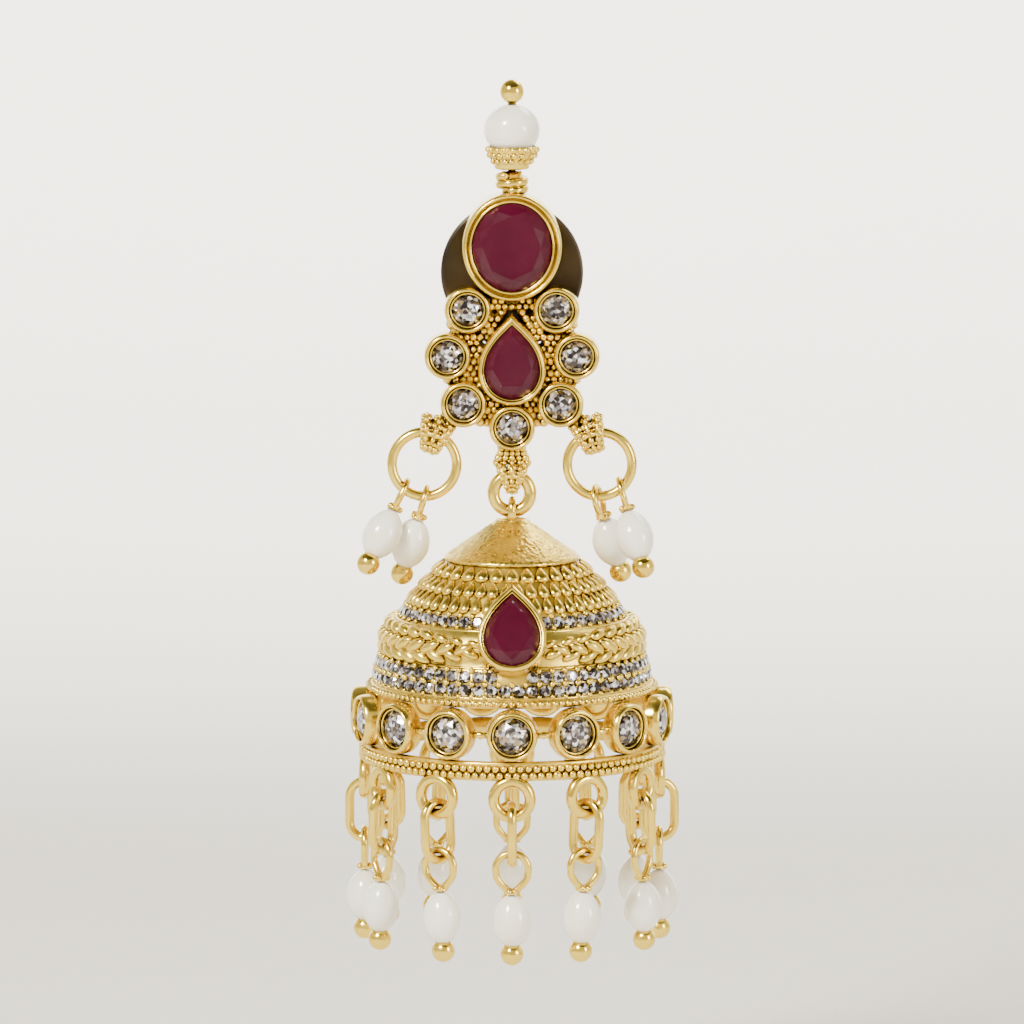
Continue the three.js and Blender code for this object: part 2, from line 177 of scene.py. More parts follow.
def lathe(rows, sides=48, closed=False):
    """Turns (radius, z) rows about Z. A radius of 0 at either end closes it with a pole."""
    rows = np.array(rows, float)
    angles = np.arange(sides) * TAU / sides
    body = rows[rows[:, 0] > 1e-9]
    ring = np.stack([np.outer(body[:, 0], np.cos(angles)), np.outer(body[:, 0], np.sin(angles)),
                     np.repeat(body[:, 1:2], sides, 1)], -1)
    points, faces = grid(ring, wrap_u=closed, wrap_v=True)
    faces = [f[:, ::-1] for f in faces]
    j = np.arange(sides)
    j2 = (j + 1) % sides
    if rows[0, 0] <= 1e-9:
        points = np.vstack([points, [[0, 0, rows[0, 1]]]])
        faces.append(np.stack([np.full(sides, len(points) - 1), j2, j], -1))
    if rows[-1, 0] <= 1e-9:
        last = (len(body) - 1) * sides
        points = np.vstack([points, [[0, 0, rows[-1, 1]]]])
        faces.append(np.stack([np.full(sides, len(points) - 1), last + j, last + j2], -1))
    return points, faces


def ball(radius=1.0, sides=12, rings=7):
    turns = np.linspace(0, math.pi, rings + 1)
    return lathe([(radius * math.sin(a) if 0 < i < rings else 0.0, -radius * math.cos(a))
                  for i, a in enumerate(turns)], sides)


def smooth_loop(rows, per=4):
    """A closed Catmull-Rom curve through the rows."""
    rows = np.array(rows, float)
    before, after, beyond = np.roll(rows, 1, 0), np.roll(rows, -1, 0), np.roll(rows, -2, 0)
    out = []
    for step in range(per):
        t = step / per
        out.append(0.5 * (2 * rows + (after - before) * t
                          + (2 * before - 5 * rows + 4 * after - beyond) * t * t
                          + (3 * rows - before - 3 * after + beyond) * t ** 3))
    return np.stack(out, 1).reshape(-1, rows.shape[1])


def tube(path, radius, sides=10, closed=True):
    """A round wire along a path; an open one tapers to a rounded end."""
    path = np.array(path, float)
    count = len(path)
    radius = np.broadcast_to(radius, count).astype(float)
    ahead = np.roll(path, -1, 0) - np.roll(path, 1, 0)
    if not closed:
        ahead[0], ahead[-1] = path[1] - path[0], path[-1] - path[-2]
    ahead /= np.linalg.norm(ahead, axis=1)[:, None]
    normal = np.cross(ahead[0], [0.31, 0.87, 0.38])
    normal /= np.linalg.norm(normal)
    normals = [normal]
    for i in range(1, count):
        normal = normal - ahead[i] * normal.dot(ahead[i])
        normal /= np.linalg.norm(normal)
        normals.append(normal)
    normals = np.array(normals)
    if closed:
        last = normals[-1] - ahead[0] * normals[-1].dot(ahead[0])
        last /= np.linalg.norm(last)
        twist = math.atan2(np.cross(last, normals[0]).dot(ahead[0]), last.dot(normals[0]))
    else:
        twist = 0.0
    sides_of = np.cross(ahead, normals)
    lead = twist * np.arange(count) / count
    angles = np.arange(sides) * TAU / sides
    turned = angles[None] + lead[:, None]
    ring = (path[:, None] + radius[:, None, None]
            * (np.cos(turned)[..., None] * normals[:, None] + np.sin(turned)[..., None] * sides_of[:, None]))
    points, faces = grid(ring, wrap_u=closed, wrap_v=True)
    if not closed:
        j = np.arange(sides)
        j2 = (j + 1) % sides
        tips = np.array([path[0] - ahead[0] * radius[0] * 0.6, path[-1] + ahead[-1] * radius[-1] * 0.6])
        base, last = len(points), (count - 1) * sides
        points = np.vstack([points, tips])
        faces.append(np.stack([np.full(sides, base), j2, j], -1))
        faces.append(np.stack([np.full(sides, base + 1), last + j, last + j2], -1))
    return points, faces


def wire_loop(width, length, wire, sides=12, around=40, point=0.0):
    """A closed wire loop in XZ about the origin. point draws its foot in to a tip."""
    radius = width / 2 - wire
    stretch = (length - width) / 2
    t = (np.arange(around) + 0.5) * TAU / around
    x, z = radius * np.cos(t), radius * np.sin(t)
    z = z + np.sign(z) * stretch
    foot = np.clip(-z / (length / 2 - wire), 0, 1)
    x = x * (1 - point * foot ** 1.5)
    return tube(np.stack([x, 0 * x, z], -1), wire, sides)


# ---- Outlines in XZ, and what is built on them ----------------------------------------------

def ellipse_outline(x, z, rx, rz, count=64):
    t = np.arange(count) * TAU / count
    return lambda inset=0.0: np.stack([x + (rx - inset) * np.cos(t), z + (rz - inset) * np.sin(t)], -1)


def bezier(a, b, c, d, count):
    t = (np.arange(count) / count)[:, None]
    a, b, c, d = (np.array(p, float) for p in (a, b, c, d))
    return a * (1 - t) ** 3 + 3 * b * t * (1 - t) ** 2 + 3 * c * t * t * (1 - t) + d * t ** 3


def pear_outline(tip, count=24):
    """Point up, tip at z = tip; the same outline as the CAD setting."""
    def outline(inset=0.0):
        r = PEAR["half"] - inset
        centre = tip - PEAR["length"] + PEAR["half"]
        top = tip - 1.6 * inset
        rise = top - centre
        right = bezier((r, centre), (r, centre + 0.5 * rise), (0.35 * r, top - 0.22 * rise), (0, top), count)
        left = bezier((0, top), (-0.35 * r, top - 0.22 * rise), (-r, centre + 0.5 * rise), (-r, centre), count)
        t = math.pi + np.arange(count) * math.pi / count
        foot = np.stack([r * np.cos(t), centre + r * np.sin(t)], -1)
        return np.vstack([right, left, foot])
    return outline


def collar(outline, rows):
    """A closed ring of metal whose section is rows of (inset, y)."""
    rings = []
    for inset, y in rows:
        flat = outline(inset)
        rings.append(np.stack([flat[:, 0], np.full(len(flat), y), flat[:, 1]], -1))
    return grid(np.array(rings), wrap_u=True, wrap_v=True)


def slab(outline, back, front, inset=0.0, dome=0.0):
    """A closed plate between two depths; dome raises its front."""
    flat = outline(inset)
    centre = flat.mean(0)
    rings = []
    for scale, y in ((1.0, back), (1.0, front), (0.85, front - 0.35 * dome), (0.5, front - 0.8 * dome)):
        ring = centre + (flat - centre) * scale
        rings.append(np.stack([ring[:, 0], np.full(len(ring), y), ring[:, 1]], -1))
    points, faces = grid(np.array(rings), wrap_v=True)
    count, base = len(flat), len(points)
    j = np.arange(count)
    j2 = (j + 1) % count
    last = base - count
    points = np.vstack([points, [[centre[0], back, centre[1]], [centre[0], front - dome, centre[1]]]])
    faces.append(np.stack([np.full(count, base), j2, j], -1))
    faces.append(np.stack([np.full(count, base + 1), last + j, last + j2], -1))
    return points, faces


def bezel(outline, back, front, wall, dip=0.25):
    """A cup with a rolled outer lip and a thinner inner lip pressed over the stone."""
    rows = [
        (0.0, back), (-0.02, (back + front) / 2), (0.0, front + 0.30), (0.07, front + 0.08),
        (0.17, front), (0.27, front + 0.06), (0.5 * wall + 0.04, front + dip),
        (0.62 * wall, front + dip + 0.02), (0.74 * wall, front + dip - 0.09), (0.9 * wall, front + dip - 0.08),
        (wall, front + dip + 0.07), (wall + 0.02, front + 0.8), (wall, back),
    ]
    return collar(outline, smooth_loop(rows, 3))


def cut_stone(outline, seat, height, table=0.62, mid=0.85, fold=8, depth=0.7):
    """A faceted stone on an outline: table, stars, kites and girdle facets, and a plain pavilion."""
    flat = outline()
    centre = (flat.max(0) + flat.min(0)) / 2
    count = len(flat)

    def ring(scale, y, n, offset):
        places = (np.arange(n) + offset) / n * count
        low = np.floor(places).astype(int) % count
        part = (places - np.floor(places))[:, None]
        edge = flat[low] * (1 - part) + flat[(low + 1) % count] * part
        inner = centre + (edge - centre) * scale
        return np.stack([inner[:, 0], np.full(n, y), inner[:, 1]], -1)

    n = fold
    tables = ring(table, seat - height, n, 0.0)
    mids = ring(mid, seat - 0.55 * height, n, 0.5)
    girdle = ring(1.0, seat, 2 * n, 0.0)
    belt = ring(1.0, seat + 0.12, 2 * n, 0.0)
    culet = np.array([[centre[0], seat + depth, centre[1]]])
    points = np.vstack([tables, mids, girdle, belt, culet])
    k = np.arange(n)
    k2 = (k + 1) % n
    t, m, g, b, c = 0, n, 2 * n, 4 * n, 6 * n
    even, odd, even2 = g + 2 * k, g + 2 * k + 1, g + (2 * k + 2) % (2 * n)
    stars = np.stack([t + k, t + k2, m + k], -1)
    kites = np.stack([t + k, m + k, even, m + (k - 1) % n], -1)
    girdles = np.vstack([np.stack([m + k, odd, even], -1), np.stack([m + k, even2, odd], -1)])
    j = np.arange(2 * n)
    j2 = (j + 1) % (2 * n)
    walls = np.stack([g + j, g + j2, b + j2, b + j], -1)
    under = np.stack([b + j, b + j2, np.full(2 * n, c)], -1)
    top = np.arange(n)[None, ::-1]
    return points, [top, stars[:, ::-1], kites, girdles, walls, under]


# ---- Blender meshes and materials -----------------------------------------------------------

def make_piece(name, shapes, material, body, replaces=(), smooth=True):
    """Makes one object from shapes in millimetres and puts it on a CAD body."""
    points, faces = join(shapes)
    mesh = bpy.data.meshes.new(name)
    mesh.vertices.add(len(points))
    mesh.vertices.foreach_set("co", (points * MM).astype(np.float32).ravel())
    sizes = np.concatenate([np.full(len(f), f.shape[1]) for f in faces])
    mesh.loops.add(int(sizes.sum()))
    mesh.loops.foreach_set("vertex_index", np.concatenate([f.ravel() for f in faces]).astype(np.int32))
    mesh.polygons.add(len(sizes))
    starts = np.concatenate([[0], np.cumsum(sizes)[:-1]])
    mesh.polygons.foreach_set("loop_start", starts.astype(np.int32))
    mesh.polygons.foreach_set("use_smooth", np.full(len(sizes), smooth))
    mesh.update(calc_edges=True)
    mesh.validate()
    solid = bmesh.new()
    solid.from_mesh(mesh)
    bmesh.ops.recalc_face_normals(solid, faces=solid.faces)
    solid.to_mesh(mesh)
    solid.free()
    piece = bpy.data.objects.new(name, mesh)
    bpy.context.scene.collection.objects.link(piece)
    mesh.materials.append(material)
    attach(piece, body)
    if replaces:
        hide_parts(*replaces)
    return piece


def new_material(name):
    material = bpy.data.materials.new(name)
    material.use_nodes = True
    tree = material.node_tree
    return material, tree, tree.nodes["Principled BSDF"]


def noise(tree, scale, detail=3.0):
    """Noise on the object's own coordinates, so that it stays put on the metal."""
    place = tree.nodes.new("ShaderNodeTexCoord")
    texture = tree.nodes.new("ShaderNodeTexNoise")
    texture.inputs["Scale"].default_value = scale
    texture.inputs["Detail"].default_value = detail
    tree.links.new(place.outputs["Object"], texture.inputs["Vector"])
    return texture


def ramp(tree, source, stops):
    node = tree.nodes.new("ShaderNodeValToRGB")
    elements = node.color_ramp.elements
    while len(elements) < len(stops):
        elements.new(0.5)
    for element, (place, color) in zip(elements, stops):
        element.position = place
        element.color = (*color, 1.0)
    tree.links.new(source, node.inputs["Fac"])
    return node


def span(tree, source, low, high, out_low, out_high):
    node = tree.nodes.new("ShaderNodeMapRange")
    for name, value in (("From Min", low), ("From Max", high), ("To Min", out_low), ("To Max", out_high)):
        node.inputs[name].default_value = value
    tree.links.new(source, node.inputs["Value"])
    return node.outputs["Result"]


def bump(tree, shader, height, strength, distance):
    node = tree.nodes.new("ShaderNodeBump")
    node.inputs["Strength"].default_value = strength
    node.inputs["Distance"].default_value = distance
    tree.links.new(height, node.inputs["Height"])
    tree.links.new(node.outputs["Normal"], shader.inputs["Normal"])


def gold_material(name, bright, dark, roughness, grain):
    """Gold plate: bright in the open, with painted shade in recesses, where the occlusion node darkens the colour
    towards brown.
    """
    material, tree, shader = new_material(name)
    # Painted shade: ambient occlusion darkens the base colour in recesses and between parts.
    shade = tree.nodes.new("ShaderNodeAmbientOcclusion")
    shade.samples = 6
    shade.inputs["Distance"].default_value = 0.45 * MM
    patches = noise(tree, 900.0)
    mix = tree.nodes.new("ShaderNodeMath")
    mix.operation = "MULTIPLY_ADD"
    tree.links.new(shade.outputs["AO"], mix.inputs[0])
    mix.inputs[1].default_value = 1.0
    tree.links.new(span(tree, patches.outputs["Fac"], 0.3, 0.7, -0.08, 0.08), mix.inputs[2])
    middle = tuple(0.45 * b + 0.55 * d for b, d in zip(bright, dark))
    # The ramp runs from painted recess shade (brown) through a middle tone to bright gold in the open.
    colors = ramp(tree, mix.outputs[0], [(0.12, dark), (0.42, middle), (0.72, bright)])
    tree.links.new(colors.outputs["Color"], shader.inputs["Base Color"])
    shader.inputs["Metallic"].default_value = 1.0
    tree.links.new(span(tree, patches.outputs["Fac"], 0.3, 0.7, roughness - 0.05, roughness + 0.09),
                   shader.inputs["Roughness"])
    fine = noise(tree, 5200.0, 2.0)
    bump(tree, shader, fine.outputs["Fac"], grain, 0.02 * MM)
    return material


def stipple(material):
    """Fine punched dots over a satin surface, added to the grain that it has, with painted shade darkening each dot."""
    tree = material.node_tree
    shader = tree.nodes["Principled BSDF"]
    place = tree.nodes.new("ShaderNodeTexCoord")
    dots = tree.nodes.new("ShaderNodeTexVoronoi")
    dots.inputs["Scale"].default_value = 3600.0
    tree.links.new(place.outputs["Object"], dots.inputs["Vector"])
    node = tree.nodes.new("ShaderNodeBump")
    node.inputs["Strength"].default_value = 0.65
    node.inputs["Distance"].default_value = 0.06 * MM
    tree.links.new(dots.outputs["Distance"], node.inputs["Height"])
    tree.links.new(shader.inputs["Normal"].links[0].from_socket, node.inputs["Normal"])
    tree.links.new(node.outputs["Normal"], shader.inputs["Normal"])
    # Painted shade: the colour is darkened towards brown in the centre of each punched dot.
    pit_shade = ramp(tree, dots.outputs["Distance"], [(0.12, (0.45, 0.36, 0.24)), (0.36, (1.0, 1.0, 1.0))])
    mix = tree.nodes.new("ShaderNodeMix")
    mix.data_type = "RGBA"
    mix.blend_type = "MULTIPLY"
    mix.inputs["Factor"].default_value = 1.0
    tree.links.new(shader.inputs["Base Color"].links[0].from_socket, mix.inputs[6])
    tree.links.new(pit_shade.outputs["Color"], mix.inputs[7])
    tree.links.new(mix.outputs[2], shader.inputs["Base Color"])
    return material


def ruby_material():
    material, tree, shader = new_material("ruby")
    cloud = noise(tree, 420.0, 4.0)
    colors = ramp(tree, cloud.outputs["Fac"], [(0.30, (0.042, 0.0018, 0.010)), (0.72, (0.056, 0.0030, 0.014))])
    tree.links.new(colors.outputs["Color"], shader.inputs["Base Color"])
    tree.links.new(span(tree, cloud.outputs["Fac"], 0.3, 0.7, 0.06, 0.14), shader.inputs["Roughness"])
    shader.inputs["IOR"].default_value = 1.5
    shader.inputs["Specular IOR Level"].default_value = 0.27
    return material


def crystal_material():
    """Foil-backed clear stone: a mosaic of bright, grey and near-black reflections under clear gloss."""
    material, tree, shader = new_material("crystal")
    place = tree.nodes.new("ShaderNodeTexCoord")
    cells = tree.nodes.new("ShaderNodeTexVoronoi")
    cells.inputs["Scale"].default_value = 4700.0
    tree.links.new(place.outputs["Object"], cells.inputs["Vector"])
    split = tree.nodes.new("ShaderNodeSeparateColor")
    tree.links.new(cells.outputs["Color"], split.inputs["Color"])
    colors = ramp(tree, split.outputs["Red"], [
        (0.00, (0.012, 0.009, 0.010)), (0.22, (0.05, 0.040, 0.038)), (0.40, (0.17, 0.15, 0.155)),
        (0.58, (0.42, 0.40, 0.44)), (0.74, (0.88, 0.88, 0.94)), (0.92, (0.34, 0.25, 0.14)),
    ])
    colors.color_ramp.interpolation = "CONSTANT"
    tree.links.new(colors.outputs["Color"], shader.inputs["Base Color"])
    tree.links.new(span(tree, split.outputs["Green"], 0.0, 1.0, 0.25, 0.95), shader.inputs["Metallic"])
    tree.links.new(span(tree, split.outputs["Blue"], 0.0, 1.0, 0.04, 0.20), shader.inputs["Roughness"])
    shader.inputs["Coat Weight"].default_value = 0.7
    shader.inputs["Coat Roughness"].default_value = 0.02
    bump(tree, shader, split.outputs["Green"], 0.5, 0.05 * MM)
    return material


def pearl_material():
    material, tree, shader = new_material("pearl")
    cloud = noise(tree, 260.0, 4.0)
    colors = ramp(tree, cloud.outputs["Fac"], [(0.3, (0.92, 0.87, 0.73)), (0.7, (0.96, 0.94, 0.84))])
    tree.links.new(colors.outputs["Color"], shader.inputs["Base Color"])
    tree.links.new(span(tree, cloud.outputs["Fac"], 0.3, 0.7, 0.16, 0.28), shader.inputs["Roughness"])
    shader.inputs["Coat Weight"].default_value = 0.7
    shader.inputs["Coat Roughness"].default_value = 0.07
    shader.inputs["Subsurface Weight"].default_value = 0.25
    shader.inputs["Subsurface Radius"].default_value = (0.0010, 0.0008, 0.0006)
    bump(tree, shader, cloud.outputs["Fac"], 0.15, 0.05 * MM)
    return material


def dark_disc_material():
    material, tree, shader = new_material("dark_disc")
    cloud = noise(tree, 180.0, 5.0)
    colors = ramp(tree, cloud.outputs["Fac"], [(0.32, (0.016, 0.011, 0.006)), (0.66, (0.052, 0.032, 0.015))])
    tree.links.new(colors.outputs["Color"], shader.inputs["Base Color"])
    shader.inputs["Metallic"].default_value = 0.55
    tree.links.new(span(tree, cloud.outputs["Fac"], 0.3, 0.7, 0.28, 0.42), shader.inputs["Roughness"])
    bump(tree, shader, cloud.outputs["Fac"], 0.2, 0.04 * MM)
    return material


# The brown is painted shade: the gold materials below darken towards it in recesses, and granulated gold darkens
# towards its own darker brown.
BRIGHT_GOLD = (0.85, 0.62, 0.095)
SHADE_BROWN = (0.12, 0.062, 0.020)
GOLD = gold_material("gold_polished", BRIGHT_GOLD, SHADE_BROWN, 0.17, 0.15)
STIPPLED_GOLD = stipple(gold_material("gold_stippled", (0.84, 0.61, 0.09), SHADE_BROWN, 0.26, 0.4))
GRAIN_GOLD = gold_material("gold_granulated", (0.84, 0.61, 0.09), (0.11, 0.058, 0.018), 0.22, 0.2)
SATIN_GOLD = gold_material("gold_satin", (0.83, 0.60, 0.09), SHADE_BROWN, 0.30, 0.6)
RUBY = ruby_material()
CRYSTAL = crystal_material()
PEARL = pearl_material()
DARK = dark_disc_material()


# ---- Stud -----------------------------------------------------------------------------------

def lobe_disc():
    thick, radius, roll = 0.6, 4.47, 0.12
    rows = [(0, 0), (radius - roll, 0), (radius, -roll), (radius, -thick + roll),
            (radius - 0.06, -thick + 0.03), (radius - 0.22, -thick), (radius - 0.34, -thick + 0.06), (0, -thick + 0.06)]
    disc = moved(lathe(rows[::-1], 96), turn("x", -math.pi / 2))
    return disc


def ear_post():
    post = lathe([(0, 0), (0.45, 0), (0.45, 9.2), (0.36, 9.4), (0.36, 9.7), (0.45, 9.9), (0.42, 10.3),
                  (0.25, 10.5), (0, 10.5)], 24)
    return moved(post, turn("x", -math.pi / 2))


def push_back():
    rows = [(0.65, 5.2), (3.85, 5.2), (4.0, 5.35), (4.0, 5.75), (3.8, 5.95), (2.0, 6.0), (1.7, 6.2),
            (1.6, 6.6), (1.6, 8.3), (1.45, 8.6), (0.65, 8.6)]
    return moved(lathe(rows, 64, closed=True), turn("x", -math.pi / 2))


def stud_outlines():
    outlines = [ellipse_outline(0, OVAL["z"], OVAL["rx"], OVAL["rz"]), pear_outline(PEAR_TIP_Z)]
    return outlines + [ellipse_outline(x, z, ROUND_R, ROUND_R, 40) for x, z in ROUND_SEATS]


def stud_settings():
    outlines = stud_outlines()
    parts = [bezel(outlines[0], BEZEL_BACK, OVAL["front"], 0.62),
             bezel(outlines[1], BEZEL_BACK, BEZEL_BACK - PEAR["depth"], 0.40)]
    parts += [bezel(outline, BEZEL_BACK, ROUND_FRONT, 0.48, 0.34) for outline in outlines[2:]]
    return parts + [slab(outline, BEZEL_BACK, BEZEL_BACK - 0.5, 0.1) for outline in outlines]


def stud_granules():
    """Beads fill the spaces where two settings come close, on a thin web of solder."""
    pitch, reach = 0.44, 0.80
    outlines = [outline() for outline in stud_outlines()]
    seats = np.array(ROUND_SEATS)
    middle = seats.mean(0)
    spots = []
    for row in range(40):
        for column in range(-14, 15):
            x = (column + 0.5 * (row % 2)) * pitch
            z = 1.0 - row * pitch * 0.87
            place = np.array([x, z])
            near = []
            for outline in outlines:
                centre = outline.mean(0)
                gaps = np.linalg.norm(outline - place, axis=1)
                closest = outline[gaps.argmin()]
                inside = np.linalg.norm(place - centre) < np.linalg.norm(closest - centre)
                near.append(-gaps.min() if inside else gaps.min())
            near.sort()
            seat = seats[np.linalg.norm(seats - place, axis=1).argmin()]
            outside = np.linalg.norm(place - middle) > np.linalg.norm(seat - middle) + 0.25
            if near[0] > -0.14 and near[1] < reach and not outside:
                spots.append((x, z))
    bead = ball(1.0, 12, 8)
    places = []
    for x, z in spots:
        size = 0.25 * (1 + 0.12 * RNG.standard_normal())
        for y in (-0.95, -1.3, -1.62 + 0.1 * RNG.standard_normal()):
            places.append(at(x, y, z, (size, size, size)))
    web = copies(ball(1.0, 10, 6), [at(x, -0.86, z, (0.40, 0.13, 0.40)) for x, z in spots])
    return [copies(bead, places), web]


def neck_coil():
    top, bottom, radius, wire, turns = 6.42, 4.95, 0.78, 0.28, 1.9
    t = np.linspace(0, turns * TAU, 120)
    path = np.stack([radius * np.sin(t), HANG_Y - radius * np.cos(t),
                     bottom + wire + (top - bottom - 2 * wire) * t / t[-1]], -1)
    core = shifted(lathe([(0, bottom - 0.4), (0.62, bottom - 0.4), (0.62, top), (0, top)], 24), y=HANG_Y)
    ends = [shifted(ball(wire, 12, 8), *path[i]) for i in (0, -1)]
    return [tube(path, wire, 12, closed=False), core, *ends]


def knot_beads(centre, axis_turn, radius, section, size, columns=11, rows=6):
    """Granulation closed into a ring round the wire that it carries; the ring lies in YZ."""
    places = []
    for i in range(columns):
        for j in range(rows):
            a = TAU * (i + 0.5 * (j % 2)) / columns
            b = TAU * j / rows
            r = radius + section * math.cos(b)
            grain = size * (1 + 0.1 * RNG.standard_normal())
            places.append(at(section * math.sin(b), r * math.cos(a), r * math.sin(a), (grain,) * 3))
    ring = copies(ball(1.0, 10, 6), places)
    core = moved(wire_loop(2 * (radius + section), 2 * (radius + section), section, 10, 24), turn("z", math.pi / 2))
    return moved(join([ring, core]), at(*centre) @ turn("y", axis_turn))


def wrapped_knot(x, z, ring_radius, wire, angle, spread, section=0.24, size=0.18):
    """Three rings of granules side by side on a ring of wire, at an angle from its top."""
    radius = wire + 0.15 + size + section
    parts = []
    for step in (-1, 1, 0):
        a = angle + step * spread
        centre = (x + ring_radius * math.sin(a), HANG_Y, z + ring_radius * math.cos(a))
        parts.append(knot_beads(centre, a, radius, section, size))
    return join(parts)


def centre_link():
    """A short granulated bar between the lowest round setting and the bail ring."""
    top, bottom, deep = -10.95, -11.9, 0.42
    places = []
    for row, half in enumerate((0.66, 0.72, 0.86, 0.98)):
        z = top + (bottom - top) * row / 3
        for column in range(5):
            x = half * (column - 2) / 2
            for y in (-deep, 0, deep):
                grain = 0.235 * (1 + 0.1 * RNG.standard_normal())
                places.append(at(x, HANG_Y + y, z, (grain,) * 3))
    return copies(ball(1.0, 10, 6), places)


def side_knots():
    slope = math.atan2(SIDE_RING["x"] - SIDE_KNOT["x"], SIDE_KNOT["z"] - SIDE_RING["z"])
    parts = []
    for side in (-1, 1):
        parts.append(wrapped_knot(side * SIDE_RING["x"], SIDE_RING["z"], SIDE_RING["radius"], SIDE_RING["wire"],
                                  -side * slope, 0.27))
        places = []
        for step in range(14):
            x = side * (SIDE_KNOT["x"] - 0.45 - 0.55 * RNG.random())
            z = SIDE_KNOT["z"] + 0.45 + 0.75 * RNG.random()
            y = HANG_Y + 0.7 * (RNG.random() - 0.5)
            places.append(at(x, y, z, (0.22,) * 3))
        parts.append(copies(ball(1.0, 10, 6), places))
    return parts


def bead_cap():
    rows = [(0.35, 6.55), (1.0, 6.55), (1.12, 6.68), (1.1, 6.85), (1.25, 7.15), (1.48, 7.5), (1.6, 7.8),
            (1.58, 7.98), (1.5, 7.96), (1.42, 7.75), (1.1, 7.45), (0.35, 7.3)]
    return shifted(lathe(rows, 48, closed=True), y=HANG_Y)


def bead_cap_grains():
    places = []
    for radius, z, size, count in ((1.52, 7.78, 0.215, 19), (1.40, 7.42, 0.22, 17), (1.2, 7.06, 0.21, 15)):
        for i in range(count):
            a = TAU * (i + 0.4 * RNG.random()) / count
            grain = size * RNG.uniform(0.85, 1.05)
            places.append(at(radius * math.cos(a), HANG_Y + radius * math.sin(a), z, (grain,) * 3))
    return copies(ball(1.0, 10, 6), places)


def top_pearl():
    radius, squat, bore, z = 1.75, 0.92, 0.35, 9.0
    tilt = math.asin(bore / radius)
    turns = np.linspace(tilt, math.pi - tilt, 40)
    rows = [(radius * math.sin(a), z - squat * radius * math.cos(a)) for a in turns]
    return shifted(lathe(rows, 64, closed=True), y=HANG_Y)


def top_pin():
    radius, z = 0.75, 11.4
    turns = np.linspace(math.radians(20), math.pi, 20)
    rows = [(0, 5.6), (0.25, 5.6)]
    rows += [(radius * math.sin(a), z - radius * math.cos(a)) for a in turns[:-1]] + [(0, z + radius)]
    return shifted(lathe(rows, 40), y=HANG_Y)


# ---- Drops ----------------------------------------------------------------------------------

def rice_pearl(shoulder):
    """A long pearl, drilled along its length, with a slight irregularity of its own."""
    steps = 28
    lean, dent = RNG.uniform(-0.03, 0.03), RNG.uniform(0.94, 1.0)
    rows = []
    for i in range(steps + 1):
        part = i / steps
        bulge = math.sin(math.pi * min(max(part, 0.004), 0.996)) ** 0.5
        rows.append((0.98 * RICE["radius"] * bulge * (1 + lean * math.cos(math.pi * part)), shoulder - RICE["length"] * part))
    points, faces = lathe([(0, shoulder)] + rows[1:-1] + [(0, shoulder - RICE["length"])], 36)
    return points * np.array([1.0, dent, 1.0]), [f[:, ::-1] for f in faces]


def end_ball(shoulder):
    centre = shoulder - RICE["length"] - 0.55 * RICE["ball"]
    return shifted(ball(RICE["ball"], 32, 20), z=centre)


def pin_loop(loop, twist, point, grains):
    """The pin's loop, drawn to a point at its foot, and the granules that hide where it closes."""
    shape = wire_loop(loop["width"], loop["length"], loop["wire"], 12, 48, point)
    parts = [shifted(moved(shape, turn("z", twist)), z=loop["wire"] - loop["length"] / 2)]
    foot = loop["wire"] - loop["length"] + 0.12
    for i in range(grains):
        a = TAU * i / grains
        parts.append(shifted(ball(0.2, 10, 6), 0.36 * math.cos(a), 0.36 * math.sin(a), foot + 0.16))
    collar_rows = [(0, foot), (0.42, foot), (0.5, foot + 0.08), (0.4, foot + 0.2), (0, foot + 0.26)]
    parts.append(lathe(collar_rows, 20))
    return parts


def pearl_drop(name, loop, twist, point, grains, matrix, body, node):
    shoulder = loop["wire"] - loop["length"] + 0.1
    make_piece(name + "_pearl", [moved(rice_pearl(shoulder), matrix)], PEARL, body, (node,))
    metal = pin_loop(loop, twist, point, grains) + [end_ball(shoulder)]
    make_piece(name + "_pin", [moved(part, matrix) for part in metal], GOLD, body, (node,))


def side_drops():
    for i, (side, x, out, back, yaw) in enumerate(SIDE_DROPS, 1):
        dx = x - SIDE_RING["x"]
        wire_z = SIDE_RING["z"] - math.sqrt(SIDE_RING["radius"] ** 2 - dx ** 2)
        matrix = (at(side * x, HANG_Y, wire_z) @ turn("y", math.radians(-side * out))
                  @ turn("x", math.radians(back)) @ at(z=SIDE_RING["wire"] + 2.5 * GAP))
        pearl_drop(f"side_drop_{i}", SIDE_LOOP, math.pi / 2 - math.radians(yaw), 0.35, 5,
                   matrix, "stud", f"side_drop_{i}")


def fringe():
    for i, (lean, yaw) in enumerate(STRANDS):
        number = f"{i + 1:02d}"
        base = at(0, BELL_Y, 0) @ turn("z", TAU * i / FRINGE_COUNT)
        swing = base @ at(0, -FRINGE_R, LOOP_Z - LOOP_R) @ turn("y", math.radians(lean))
        top = LOOP_WIRE + GAP + 2 * LINK["wire"]
        place = swing @ at(z=top - LINK["length"] / 2) @ turn("z", math.pi / 2 + math.radians(yaw))
        link = wire_loop(LINK["width"], LINK["length"], LINK["wire"], 14, 56)
        make_piece(f"link_{number}_wire", [moved(link, place)], GOLD, "bell", (f"link_{number}",))
        hook = top - LINK["length"] + 2 * LINK["wire"] + GAP + PIN_LOOP["wire"]
        pearl_drop(f"drop_{number}", PIN_LOOP, 0.0, 0.55, 6, swing @ at(z=hook), "bell", f"drop_{number}")


# ---- Bell -----------------------------------------------------------------------------------

def on_bell(phi, r, z, slope=0.0):
    """Local axes on the bell's surface: X round it, Z up along it, -Y out of it. slope is its lean."""
    out = np.array([math.sin(phi), -math.cos(phi), 0.0])
    along = np.array([math.cos(phi), math.sin(phi), 0.0])
    up = np.array([0.0, 0.0, 1.0])
    normal = out * math.cos(slope) + up * math.sin(slope)
    rise = -out * math.sin(slope) + up * math.cos(slope)
    return matrix_of(along, -normal, rise, BELL_AXIS + out * r + up * z)


